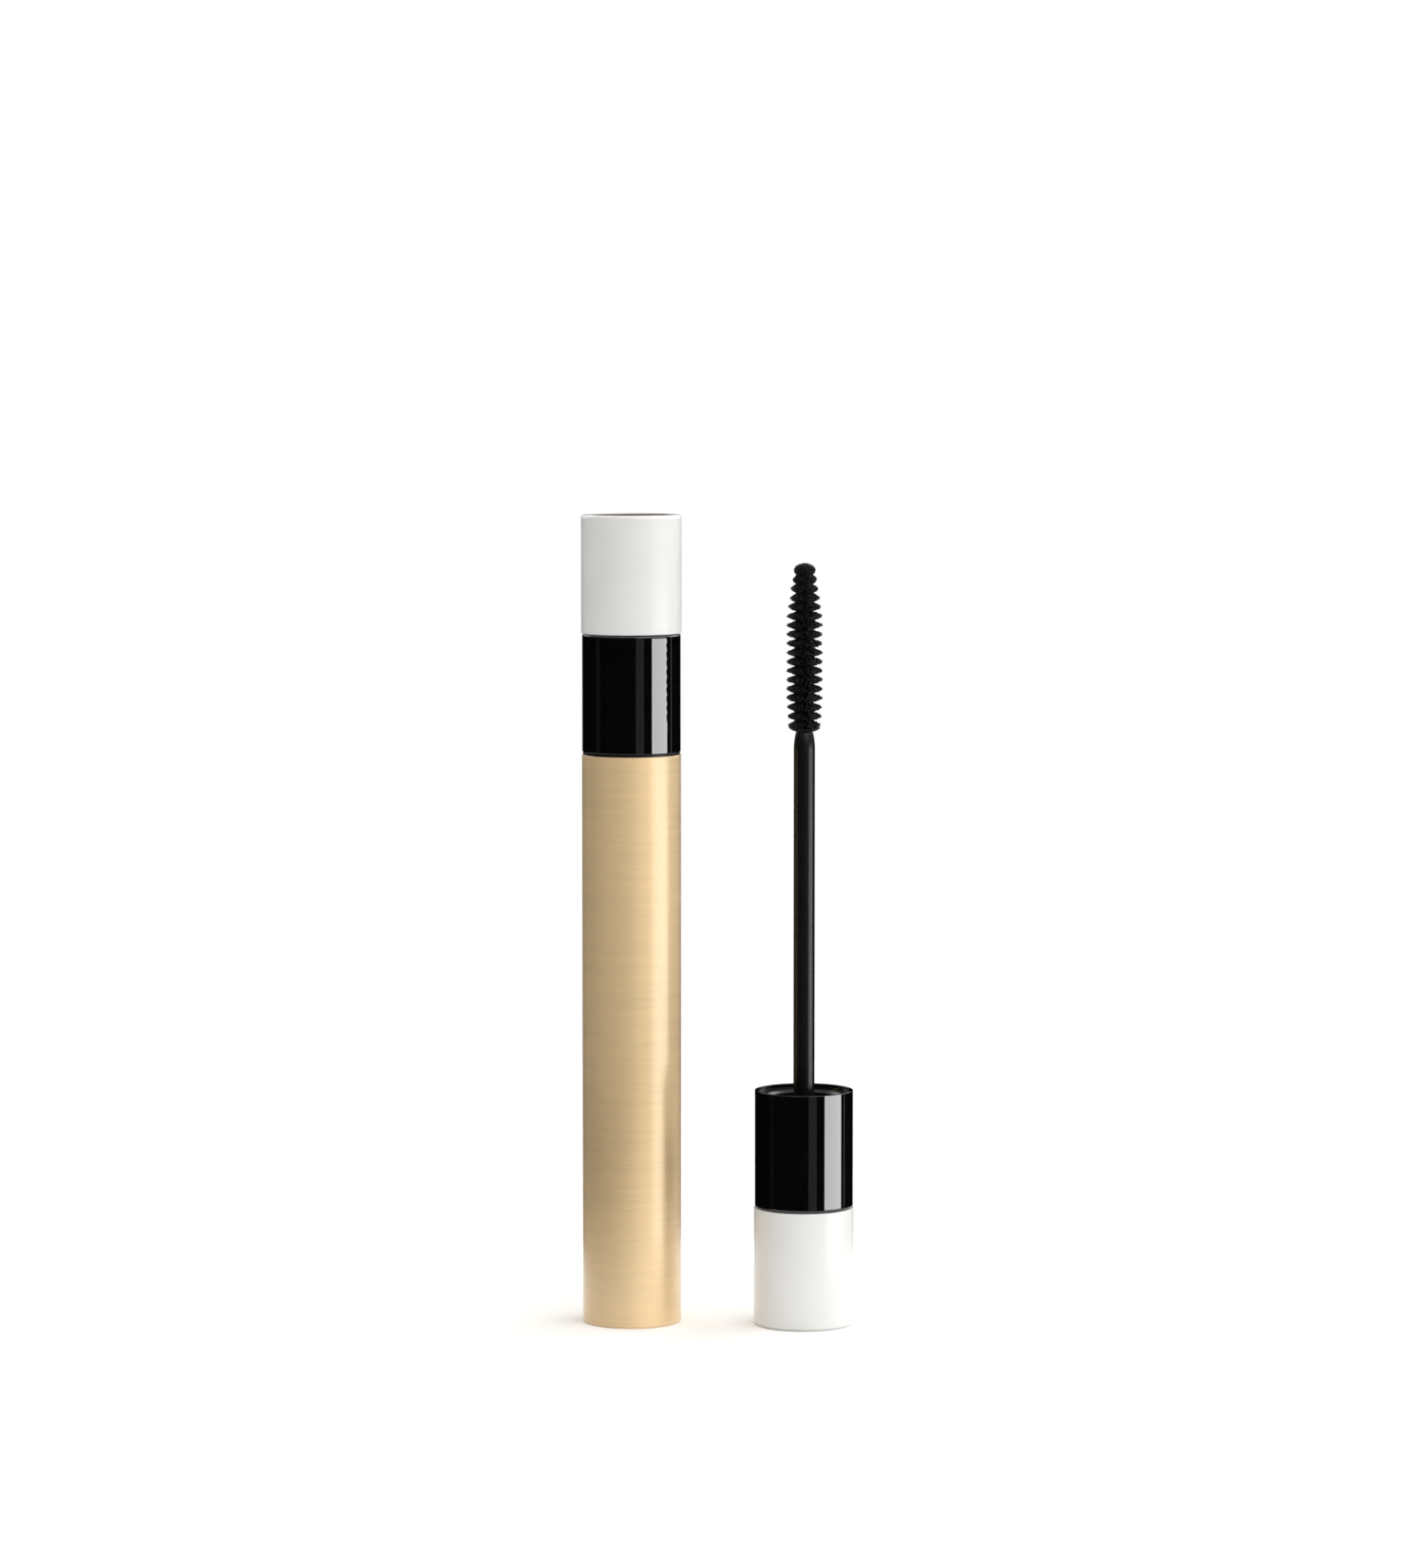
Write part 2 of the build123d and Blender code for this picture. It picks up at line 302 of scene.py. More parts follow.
def foam():
    """Fine closed-cell foam."""
    finish = Finish("foam", Roughness=0.85)
    graph = finish.graph
    values = {"Vector": finish.where, "Scale": FOAM_CELLS}
    cells = graph.node("ShaderNodeTexVoronoi", None, values)["Distance"]
    finish.set("Base Color", graph.blend(FOAM_DARK, FOAM_LIGHT, cells.ramp(0.1, 0.6)))
    finish.bump(cells, 0.03 * MM)
    return finish.material


def turned_steel():
    """The slug's turned steel."""
    finish = Finish("turned_steel", Metallic=1.0)
    graph = finish.graph
    cuts = graph.noise(graph.stretch(finish.where, TURNED_CUTS), 1.0, 2.0)
    finish.set("Base Color", graph.blend(STEEL_DARK, STEEL_LIGHT, cuts))
    finish.set("Roughness", 0.25 + 0.15 * cuts)
    finish.bump(cuts, 0.006 * MM)
    return finish.material


def stained_wire():
    """Drawn steel wire, dark where the formula has dried on it."""
    finish = Finish("stained_wire")
    graph = finish.graph
    dried = graph.noise(finish.where, 1200.0, 3.0).ramp(0.35, 0.55)
    finish.set("Base Color", graph.blend(WIRE_STEEL, DRIED_FORMULA, dried))
    finish.set("Metallic", 1.0 - dried)
    finish.set("Roughness", 0.3 + 0.2 * dried)
    return finish.material


def coated_fibre():
    """Black fibre with the formula still on it: glossier and matter by turns."""
    finish = Finish("coated_fibre", Specular_IOR_Level=0.5)
    graph = finish.graph
    wet = graph.noise(finish.where, 1800.0, 3.0)
    broad = graph.noise(finish.where, 350.0, 2.0)
    finish.set("Base Color", graph.blend(FIBRE_DARK, FIBRE_LIGHT, broad))
    finish.set("Roughness", 0.3 + 0.3 * wet)
    return finish.material


# --- turned pieces --------------------------------------------------------------------
def rounded(*corners, steps=7):
    """An outline of (radius, height) points. A corner may have a third number, its rounding.

    A point a little before and after each rounding keeps the faces beside it flat in the shading.
    """
    points = []
    for index, corner in enumerate(corners):
        here = Vector(corner[:2])
        rounding = corner[2] if len(corner) > 2 else 0
        if not rounding:
            points.append(here)
            continue
        before = (Vector(corners[index - 1][:2]) - here).normalized()
        after = (Vector(corners[(index + 1) % len(corners)][:2]) - here).normalized()
        half = before.angle(after) / 2
        reach = rounding / math.tan(half)
        centre = here + (before + after).normalized() * rounding / math.sin(half)
        start = here + before * reach - centre
        sweep = start.angle_signed(here + after * reach - centre)
        points.append(here + before * reach * LEAD_IN)
        for step in range(steps + 1):
            turn = Matrix.Rotation(-sweep * step / steps, 2)
            points.append(centre + turn @ start)
        points.append(here + after * reach * LEAD_IN)
    return points


def turned(name, outline, segments=192, sharp=40):
    """A mesh made by turning an outline about Z. The outline runs round a wall, or from axis to axis."""
    mesh = bpy.data.meshes.new(name)
    built = bmesh.new()
    angles = [2 * math.pi * k / segments for k in range(segments)]
    rings = []
    for radius, height in outline:
        if radius < ON_AXIS:
            rings.append([built.verts.new((0, 0, height))])
            continue
        spots = [(radius * math.cos(angle), radius * math.sin(angle), height) for angle in angles]
        rings.append([built.verts.new(spot) for spot in spots])
    pairs = list(zip(rings, rings[1:]))
    if len(rings[0]) > 1 and len(rings[-1]) > 1:
        pairs.append((rings[-1], rings[0]))
    for lower, upper in pairs:
        for k in range(segments):
            corners = [lower[k % len(lower)], lower[(k + 1) % len(lower)]]
            corners += [upper[(k + 1) % len(upper)], upper[k % len(upper)]]
            built.faces.new(list(dict.fromkeys(corners)))
    bmesh.ops.recalc_face_normals(built, faces=built.faces)
    built.to_mesh(mesh)
    built.free()
    mesh.shade_smooth()
    mesh.set_sharp_from_angle(angle=math.radians(sharp))
    return mesh


# --- pieces that repeat or wind, made with Geometry Nodes --------------------------------
class Shape:
    """A Geometry Nodes tree with named inputs, baked to a plain mesh."""

    def __init__(self, name, **sizes):
        self.name = name
        self.tree = bpy.data.node_groups.new(name, "GeometryNodeTree")
        self.graph = Graph(self.tree)
        self.sizes = {}
        for label, value in sizes.items():
            kind = "NodeSocketInt" if isinstance(value, int) else "NodeSocketFloat"
            socket = self.tree.interface.new_socket(label, in_out="INPUT", socket_type=kind)
            self.sizes[label] = (socket.identifier, value)
        self.tree.interface.new_socket("Material", in_out="INPUT", socket_type="NodeSocketMaterial")
        self.tree.interface.new_socket("Geometry", in_out="OUTPUT", socket_type="NodeSocketGeometry")
        self.inputs = self.graph.node("NodeGroupInput")

    def __getitem__(self, label):
        return self.inputs[label]

    def bake(self, geometry, material, smooth=True):
        """End the tree, run it once with its sizes and return the plain mesh."""
        graph = self.graph
        whole = graph.node("GeometryNodeRealizeInstances", None, {"Geometry": geometry})["Geometry"]
        values = {"Geometry": whole, "Shade Smooth": smooth}
        shaded = graph.node("GeometryNodeSetShadeSmooth", None, values)["Geometry"]
        values = {"Geometry": shaded, "Material": self["Material"]}
        dressed = graph.node("GeometryNodeSetMaterial", None, values)["Geometry"]
        graph.node("NodeGroupOutput", None, {"Geometry": dressed})
        carrier = bpy.data.objects.new(self.name, bpy.data.meshes.new(self.name))
        bpy.context.scene.collection.objects.link(carrier)
        modifier = carrier.modifiers.new(self.name, "NODES")
        modifier.node_group = self.tree
        for identifier, value in self.sizes.values():
            modifier[identifier] = value
        material_input = next(s for s in self.tree.interface.items_tree if s.name == "Material")
        modifier[material_input.identifier] = material
        bpy.context.view_layer.update()
        evaluated = carrier.evaluated_get(bpy.context.evaluated_depsgraph_get())
        mesh = bpy.data.meshes.new_from_object(evaluated)
        mesh.name = self.name
        bpy.data.objects.remove(carrier)
        return mesh


def winding(graph, turns, radius, lead, height, start_angle):
    """A right-hand helix about Z, from height upwards."""
    values = {"Resolution": 40, "Rotations": turns, "Start Radius": radius, "End Radius": radius}
    values["Height"] = turns * lead
    spiral = graph.node("GeometryNodeCurveSpiral", None, values)["Curve"]
    lifted = graph.node("ShaderNodeCombineXYZ", None, {"Z": height})["Vector"]
    turn = graph.node("ShaderNodeCombineXYZ", None, {"Z": start_angle})["Vector"]
    values = {"Geometry": spiral, "Translation": lifted, "Rotation": turn}
    return graph.node("GeometryNodeTransform", None, values)["Geometry"]


def thread_ridge(name, material, radius, reach, start):
    """One ridge of the thread, on the neck where reach is outwards, in the cap where it is inwards."""
    sizes = {"Radius": radius, "Reach": reach, "Start": start}
    shape = Shape(name, Turns=THREAD_TURNS, Lead=THREAD_LEAD, Width=RIDGE_WIDTH, **sizes)
    graph = shape.graph
    path = winding(graph, shape["Turns"], shape["Radius"], shape["Lead"], shape["Start"], 0.0)
    level = graph.node("GeometryNodeSetCurveNormal", {"mode": "Z_UP"}, {"Curve": path})["Curve"]
    root, crest, buried = 0.5, 0.2, -0.25
    corners = [(buried, -root), (1.0, -crest), (1.0, crest), (buried, root)]
    values = {}
    for number, (out, up) in enumerate(corners, 1):
        point = {"X": shape["Reach"] * -out, "Y": shape["Width"] * up}
        values[f"Point {number}"] = graph.node("ShaderNodeCombineXYZ", None, point)["Vector"]
    section = graph.node("GeometryNodeCurvePrimitiveQuadrilateral", {"mode": "POINTS"}, values)["Curve"]
    values = {"Curve": level, "Profile Curve": section, "Fill Caps": True}
    ridge = graph.node("GeometryNodeCurveToMesh", None, values)["Mesh"]
    return shape.bake(ridge, material, smooth=False)


def twisted_pair(name, material):
    """The brush's core: one wire folded double and twisted, which grips the fibres."""
    low, high = WIRE_SEAT, WIRE_END
    shape = Shape(name, Strand=STRAND_RADIUS, Twist=2 * ROW_PITCH, Start=low, Length=high - low)
    graph = shape.graph
    values = {"Resolution": 10, "Radius": shape["Strand"]}
    section = graph.node("GeometryNodeCurvePrimitiveCircle", None, values)["Curve"]
    turns = shape["Length"] / shape["Twist"]
    joined = graph.node("GeometryNodeJoinGeometry")
    for start_angle in (0.0, math.pi):
        path = winding(graph, turns, shape["Strand"], shape["Twist"], shape["Start"], start_angle)
        values = {"Curve": path, "Profile Curve": section, "Fill Caps": True}
        strand = graph.node("GeometryNodeCurveToMesh", None, values)["Mesh"]
        graph.tree.links.new(strand.socket, joined.node.inputs["Geometry"])
    return shape.bake(joined["Geometry"], material)


def chance(graph, low, high, seed):
    """A random number for each fibre."""
    values = {"Min_001": low, "Max_001": high, "Seed": seed}
    node = graph.node("FunctionNodeRandomValue", {"data_type": "FLOAT"}, values)
    return node[1]


def fibre_brush(name, material):
    """Fibres all round the wire, cut to rows: long at a row's middle, short in the grooves.

    Past the first and the last row the fibres fan out, to a collar at the stem and a knob at the tip.
    """
    shape = Shape(
        name,
        Fibres=FIBRES,
        Start=FIRST_ROW - STEM_FAN,
        Length=TIP_ROW + TIP_FAN - FIRST_ROW + STEM_FAN,
        Pitch=ROW_PITCH,
        First=FIRST_ROW,
        Last=TIP_ROW,
        Wire_End=WIRE_END,
        Brush=brush_radius,
        Groove=GROOVE_RADIUS,
        Tip=TIP_ROW_RADIUS,
        Tip_Step=TIP_ROW_STEP,
        Stem_Step=STEM_ROW_STEP,
        Thickness=FIBRE_THICKNESS,
    )
    graph = shape.graph
    number = graph.node("GeometryNodeInputIndex")["Index"]
    share = (number + chance(graph, 0.0, 1.0, 1)) / shape["Fibres"]
    virtual = shape["Start"] + shape["Length"] * share
    angle = number * GOLDEN_ANGLE + chance(graph, -0.3, 0.3, 2)

    height = virtual.most(shape["First"]).least(shape["Last"])
    row = (height - shape["First"]) / shape["Pitch"]
    side = {"X": angle.cos(), "Y": angle.sin(), "Z": row.whole() * ROWS_APART}
    clump = graph.noise(graph.node("ShaderNodeCombineXYZ", None, side)["Vector"], 1.6, 1.0) - 0.5

    last = (shape["Last"] - shape["First"]) / shape["Pitch"]
    tip_side = shape["Tip"] + shape["Tip_Step"] * (last - row)
    stem_side = shape["Brush"] - shape["Stem_Step"] * (STEM_ROWS - row).most(0.0)
    envelope = tip_side.least(stem_side)
    groove = shape["Groove"].least(envelope - LEAST_TOOTH)
    wave = 0.5 + 0.5 * (row * (2 * math.pi)).cos()
    cut = groove + (envelope - groove) * wave ** TOOTH_FULLNESS

    tip_fan = (virtual - shape["Last"]).most(0.0) * (math.pi / 2 / TIP_FAN)
    stem_fan = (shape["First"] - virtual).most(0.0) * (math.pi / 2 / STEM_FAN)
    spread = cut * tip_fan.cos() * (0.5 + 0.5 * stem_fan.cos())
    uneven = spread * chance(graph, 0.95, 1.03, 3) * (1.0 + 0.12 * clump.least(0.0))
    reach = uneven.least(shape["Brush"] - FIBRE_CLEARANCE)
    lift = TIP_RISE * tip_fan.sin() - STEM_DROP * stem_fan.sin()
    from_stem = ((virtual - shape["First"]) / CLUMP_EASE).most(0.0).least(1.0)
    from_tip = ((shape["Last"] - virtual) / CLUMP_EASE).most(0.0).least(1.0)
    stray = chance(graph, -STRAY, STRAY, 4) + CLUMP_LEAN * clump * from_stem * from_tip
    end = height + lift + stray
    root = virtual.most(shape["First"] - STEM_ROOTS).least(shape["Wire_End"] - 0.1 * MM)
    rise = end - root
    size = (reach * reach + rise * rise) ** 0.5

    way = {"X": angle.cos() * reach, "Y": angle.sin() * reach, "Z": rise}
    outward = graph.node("ShaderNodeCombineXYZ", None, way)["Vector"]
    spot = graph.node("ShaderNodeCombineXYZ", None, {"Z": root})["Vector"]
    points = graph.node("GeometryNodePoints", None, {"Count": shape["Fibres"], "Position": spot})["Points"]

    values = {"Vertices": 4, "Radius Top": shape["Thickness"] * 0.45, "Radius Bottom": shape["Thickness"] * 0.5}
    values["Depth"] = 1.0
    needle = graph.node("GeometryNodeMeshCone", {"fill_type": "NGON"}, values)["Mesh"]
    turn = graph.node("FunctionNodeAlignRotationToVector", {"axis": "Z"}, {"Vector": outward})["Rotation"]
    scale = graph.node("ShaderNodeCombineXYZ", None, {"X": 1.0, "Y": 1.0, "Z": size})["Vector"]
    values = {"Points": points, "Instance": needle, "Rotation": turn, "Scale": scale}
    fibres = graph.node("GeometryNodeInstanceOnPoints", None, values)["Instances"]
    return shape.bake(fibres, material, smooth=False)


# --- sizes ----------------------------------------------------------------------------
def span(node):
    """Radius, lowest and highest point of a round CAD node."""
    low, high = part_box(node)
    return (high.x - low.x) / 2, low.z, high.z


WALL = 0.45 * MM
EDGE = 0.12 * MM
FINE_EDGE = 0.06 * MM
SOFT_EDGE = 0.08 * MM
CAP_EDGE = 0.6 * MM
COLLAR_EDGE = 0.35 * MM
BASE_EDGE = 0.35 * MM
CAP_WALL = 0.9 * MM
CAP_END_WALL = 1.65 * MM
BADGE_SEAT = (6.9 * MM, 0.4 * MM)
BADGE_RINGS = (2.6 * MM, 4.2 * MM, 5.8 * MM)
RING_WIDTH = 0.35 * MM
RING_DEPTH = 0.08 * MM
COLLAR_WALL = 0.4 * MM
NECK_RADIUS = 4.4 * MM
NECK_RIDGE = 0.5 * MM
NECK_RIDGE_START = 96.0 * MM
CAP_BORE = 5.6 * MM
CAP_RIDGE = -0.6 * MM
CAP_RIDGE_START = 30.4 * MM
THREAD_LEAD = 3.0 * MM
THREAD_TURNS = 1.5
RIDGE_WIDTH = 1.3 * MM
ROWS = 18
ROW_PITCH = 1.468 * MM
FIRST_ROW = 97.36 * MM
STEM_ROWS = 3.0
TIP_ROW = FIRST_ROW + (ROWS - 1) * ROW_PITCH
GROOVE_RADIUS = 1.4 * MM
TIP_ROW_RADIUS = 1.75 * MM
TIP_ROW_STEP = 0.235 * MM
STEM_ROW_STEP = 0.1 * MM
LEAST_TOOTH = 0.3 * MM
TOOTH_FULLNESS = 0.58
ROWS_APART = 7.0
CLUMP_EASE = 1.0 * MM
CLUMP_LEAN = 0.35 * MM
STRAY = 0.06 * MM
FIBRE_CLEARANCE = 0.01 * MM
STEM_ROOTS = 0.7 * MM
TIP_FAN = 2.0 * MM
STEM_FAN = 1.0 * MM
TIP_RISE = 1.1 * MM
STEM_DROP = 0.95 * MM
FIBRES = 9000
FIBRE_THICKNESS = 0.12 * MM
STRAND_RADIUS = 0.2 * MM
GOLDEN_ANGLE = math.pi * (3 - math.sqrt(5))
FINE_SEGMENTS = 256
STEM_SEGMENTS = 96
LEAD_IN = 1.35
ON_AXIS = 1e-9

sleeve_radius, sleeve_low, sleeve_high = span("outer_sleeve")
plug_radius, plug_low, plug_high = span("base_plug")
vial_radius, vial_low, neck_top = span("vial")
ring_radius, ring_low, ring_high = span("shoulder_ring")
wiper_radius, wiper_low, wiper_high = span("wiper")
cap_radius, cap_low, cap_high = span("standing_cap_shell")
badge_radius, badge_low, badge_high = span("standing_cap_badge")
collar_radius, collar_low, collar_high = span("standing_collar")
inner_radius, inner_low, inner_high = span("standing_inner_cap")
root_radius, stem_low, stem_high = span("standing_stem")
WIRE_SEAT, WIRE_END = span("standing_brush_wire")[1:]
brush_radius, brush_low, brush_high = span("standing_bristles")
standing_centre = sum(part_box("standing_cap_shell"), Vector()) / 2
STANDING_X, STANDING_Y = standing_centre.x, standing_centre.y
total_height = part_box("cap_shell")[1].z
MIDDLE_X = (sleeve_radius + STANDING_X) / 2

# Colours, each from its darker to its lighter end.
GOLD_DARK = (0.85, 0.653, 0.387, 1)
GOLD_LIGHT = (0.945, 0.737, 0.453, 1)
WHITE_SHADE = (0.745, 0.745, 0.73, 1)
WHITE_LIGHT = (0.775, 0.775, 0.76, 1)
BADGE_DARK = (0.42, 0.33, 0.285, 1)
BADGE_LIGHT = (0.47, 0.37, 0.325, 1)
LACQUER_DARK = (0.001, 0.001, 0.0012, 1)
LACQUER_LIGHT = (0.003, 0.003, 0.0033, 1)
MOULDING_DARK = (0.002, 0.002, 0.0021, 1)
MOULDING_LIGHT = (0.005, 0.005, 0.0052, 1)
NATURAL_DARK = (0.62, 0.61, 0.56, 1)
NATURAL_LIGHT = (0.78, 0.77, 0.72, 1)
WIPER_GREY = (0.3, 0.3, 0.29, 1)
DRIED_FORMULA = (0.01, 0.009, 0.009, 1)
FOAM_DARK = (0.62, 0.62, 0.6, 1)
FOAM_LIGHT = (0.8, 0.8, 0.78, 1)
STEEL_DARK = (0.42, 0.42, 0.43, 1)
STEEL_LIGHT = (0.6, 0.6, 0.61, 1)
WIRE_STEEL = (0.35, 0.35, 0.36, 1)
FIBRE_DARK = (0.009, 0.0085, 0.0085, 1)
FIBRE_LIGHT = (0.03, 0.028, 0.0275, 1)

# Marks to the metre along X, Y and Z: many along Z and few across make lines that run level.
BRUSHED_LINES = (170, 170, 8000)
BRUSHED_STREAKS = (60, 60, 1600)
WIPE_MARKS = (120, 120, 500)
TURNED_CUTS = (60, 60, 5000)
FOAM_CELLS = 6000.0
TURNING_PITCH = 0.18 * MM


# --- outlines of the turned pieces --------------------------------------------------------
def sleeve_outline():
    """A tube, open above, with a lip turned in at its base."""
    lip = 6.6 * MM
    bore = sleeve_radius - WALL
    return rounded(
        (lip, sleeve_low),
        (sleeve_radius, sleeve_low, BASE_EDGE),
        (sleeve_radius, sleeve_high, EDGE),
        (bore, sleeve_high),
        (bore, sleeve_low + WALL),
        (lip, sleeve_low + WALL),
    )


def plug_outline():
    """A disc with a boss that fills the sleeve's open base."""
    boss = 6.55 * MM
    step = 0.5 * MM
    return rounded(
        (0, plug_low),
        (boss, plug_low, SOFT_EDGE),
        (boss, step),
        (plug_radius, step),
        (plug_radius, plug_high),
        (0, plug_high),
    )


def vial_outline():
    """A bottle with a flat shoulder, a plain neck and a sloping roof inside."""
    wall = 1.1 * MM
    shoulder = 92.0 * MM
    bore = 3.5 * MM
    throat = shoulder - 1.5 * wall
    roof = 4.5 * MM
    return rounded(
        (0, vial_low),
        (vial_radius, vial_low),
        (vial_radius, shoulder),
        (NECK_RADIUS, shoulder),
        (NECK_RADIUS, neck_top, 0.15 * MM),
        (bore, neck_top),
        (bore, throat),
        (vial_radius - wall, throat - roof),
        (vial_radius - wall, vial_low + wall, wall),
        (0, vial_low + wall),
    )


def ring_outline():
    """A flanged ring: its flange lies on the sleeve's edge."""
    bore = 5.3 * MM
    seat = 7.45 * MM
    flange = sleeve_high + 0.05 * MM
    return rounded(
        (bore, ring_low),
        (seat, ring_low),
        (seat, flange),
        (ring_radius, flange),
        (ring_radius, ring_high, FINE_EDGE),
        (bore, ring_high),
    )


def wiper_outline():
    """A flange on the neck, a tube inside it, and a cone down to the lip."""
    outer = 3.45 * MM
    wall = 0.4 * MM
    lip = 1.76 * MM
    cone_top = neck_top - 10.0 * MM
    cone_low = cone_top - 3.8 * MM
    edge = 0.15 * MM
    return rounded(
        (outer - wall, wiper_high, edge),
        (wiper_radius, wiper_high, edge),
        (wiper_radius, neck_top),
        (outer, neck_top),
        (outer, cone_top),
        (lip + wall, cone_low),
        (lip + wall, wiper_low),
        (lip, wiper_low),
        (lip, cone_low),
        (outer - wall, cone_top),
    )


def cap_outline():
    """The white cap, end down: a recess for the badge below, open above."""
    seat, depth = BADGE_SEAT
    bore = cap_radius - CAP_WALL
    return rounded(
        (0, depth),
        (seat, depth),
        (seat, cap_low, 0.1 * MM),
        (cap_radius, cap_low, CAP_EDGE),
        (cap_radius, cap_high, EDGE),
        (bore, cap_high),
        (bore, CAP_END_WALL),
        (0, CAP_END_WALL),
    )


def badge_outline():
    """A disc with ring grooves in its face."""
    groove_edge = 0.02 * MM
    corners = [(0, badge_low)]
    for ring in BADGE_RINGS:
        far = ring + RING_WIDTH
        corners += [(ring, badge_low, groove_edge), (ring, badge_low + RING_DEPTH)]
        corners += [(far, badge_low + RING_DEPTH), (far, badge_low, groove_edge)]
    corners += [(badge_radius, badge_low, EDGE), (badge_radius, badge_high), (0, badge_high)]
    return rounded(*corners)


def collar_outline():
    """A sleeve with a flange turned in at the cap's end."""
    bore = collar_radius - COLLAR_WALL
    flange = 6.4 * MM
    return rounded(
        (flange, collar_low),
        (collar_radius, collar_low, COLLAR_EDGE),
        (collar_radius, collar_high, FINE_EDGE),
        (bore, collar_high, SOFT_EDGE),
        (bore, collar_low + COLLAR_WALL),
        (flange, collar_low + COLLAR_WALL),
    )


def inner_cap_outline():
    """A plug in the white cap, then a cup for the neck, with the stem's socket in its web."""
    plug = 6.3 * MM
    shoulder = collar_low + COLLAR_WALL + 0.05 * MM
    mouth = 0.4 * MM
    web = 26.4 * MM
    socket = 2.15 * MM
    socket_floor = 20.0 * MM
    return rounded(
        (0, inner_low),
        (plug, inner_low),
        (plug, shoulder),
        (inner_radius, shoulder),
        (inner_radius, inner_high, EDGE),
        (CAP_BORE + mouth, inner_high),
        (CAP_BORE, inner_high - mouth),
        (CAP_BORE, web),
        (socket, web),
        (socket, socket_floor),
        (0, socket_floor),
    )


def stem_outline():
    """A rod with a thicker root, a nose that narrows in a curve, and a bore for the wire."""
    shank = 1.71 * MM
    nose = 1.375 * MM
    taper = 93.5 * MM
    bore = 0.45 * MM
    root = 26.1 * MM
    bore_floor = WIRE_SEAT - 0.05 * MM
    corners = [(0, stem_low), (root_radius, stem_low), (root_radius, root), (shank, root), (shank, taper)]
    length = stem_high - taper
    steps = 10
    for step in range(1, steps):
        along = step / steps
        corners.append((shank - (shank - nose) * along ** 2, taper + length * along))
    corners += [(nose, stem_high, 0.22 * MM), (bore, stem_high), (bore, bore_floor), (0, bore_floor)]
    return rounded(*corners)


# --- assembly -------------------------------------------------------------------------
finishes = {
    "sleeve_gold": champagne_metal(),
    "base_black": black_moulding("base_moulding", 0.42, 2500.0),
    "cap_white": white_lacquer(),
    "badge_metal": turned_badge(),
    "collar_black": black_lacquer(),
    "black_moulding": black_moulding("black_moulding", 0.3, 1800.0),
    "natural_moulding": natural_moulding(),
    "wiper_moulding": wiper_moulding(),
    "weight_steel": turned_steel(),
    "seal_foam": foam(),
    "brush_wire_steel": stained_wire(),
    "bristle_nylon": coated_fibre(),
}
slot_of = {row["node"]: row["material_slot"] for row in frame["record"]["subparts"]}
body_of = {node: body for body, nodes in frame["record"]["behaviour"]["bodies"].items() for node in nodes}


def joined(name, *meshes):
    """Several closed meshes as one, every face outwards."""
    built = bmesh.new()
    for mesh in meshes:
        built.from_mesh(mesh)
    bmesh.ops.recalc_face_normals(built, faces=built.faces)
    whole = bpy.data.meshes.new(name)
    built.to_mesh(whole)
    built.free()
    return whole


def add_piece(name, node, mesh, place):
    """Put a finished mesh where its CAD node is, on the same body and with the same slot."""
    mesh = mesh.copy()
    mesh.transform(place)
    mesh.materials.clear()
    mesh.materials.append(finishes[slot_of[node]])
    piece = bpy.data.objects.new(name, mesh)
    bpy.context.scene.collection.objects.link(piece)
    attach(piece, body_of[node])
    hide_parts(node)
    return piece


def add_tube():
    """The tube's own pieces, where they stand."""
    here = Matrix.Identity(4)
    neck = turned("neck", vial_outline())
    moulding = finishes["natural_moulding"]
    ridge = thread_ridge("neck_thread", moulding, NECK_RADIUS, NECK_RIDGE, NECK_RIDGE_START)
    add_piece("gold_sleeve", "outer_sleeve", turned("gold_sleeve", sleeve_outline(), FINE_SEGMENTS), here)
    add_piece("closing_plug", "base_plug", turned("closing_plug", plug_outline()), here)
    add_piece("threaded_vial", "vial", joined("threaded_vial", neck, ridge), here)
    add_piece("shoulder_trim", "shoulder_ring", turned("shoulder_trim", ring_outline()), here)
    add_piece("neck_wiper", "wiper", turned("neck_wiper", wiper_outline()), here)


def add_applicators():
    """The applicator, made standing on its cap: one copy turned over into the tube, one beside it."""
    closed = Matrix.Translation((0, 0, total_height)) @ Matrix.Rotation(math.pi, 4, "X")
    standing = Matrix.Translation((STANDING_X, STANDING_Y, 0))
    moulding = finishes["black_moulding"]
    ridge = thread_ridge("cap_thread", moulding, CAP_BORE, CAP_RIDGE, CAP_RIDGE_START)
    threaded = joined("threaded_inner_cap", turned("inner", inner_cap_outline()), ridge)
    pieces = [
        ("white_cap", "cap_shell", turned("white_cap", cap_outline(), FINE_SEGMENTS)),
        ("badge_disc", "cap_badge", turned("badge_disc", badge_outline())),
        ("gloss_collar", "collar", turned("gloss_collar", collar_outline(), FINE_SEGMENTS)),
        ("threaded_inner_cap", "inner_cap", threaded),
        ("wand_stem", "stem", turned("wand_stem", stem_outline(), STEM_SEGMENTS)),
        ("twisted_wire", "brush_wire", twisted_pair("twisted_wire", finishes["brush_wire_steel"])),
        ("fibre_brush", "bristles", fibre_brush("fibre_brush", finishes["bristle_nylon"])),
    ]
    for name, node, mesh in pieces:
        add_piece(name, node, mesh, closed)
        add_piece("standing_" + name, "standing_" + node, mesh, standing)


def dress_hidden_nodes():
    """The inner pieces keep their CAD shape and get their finish."""
    for node, slot in slot_of.items():
        mesh = frame["nodes"][node].data
        mesh.materials.clear()
        mesh.materials.append(finishes[slot])


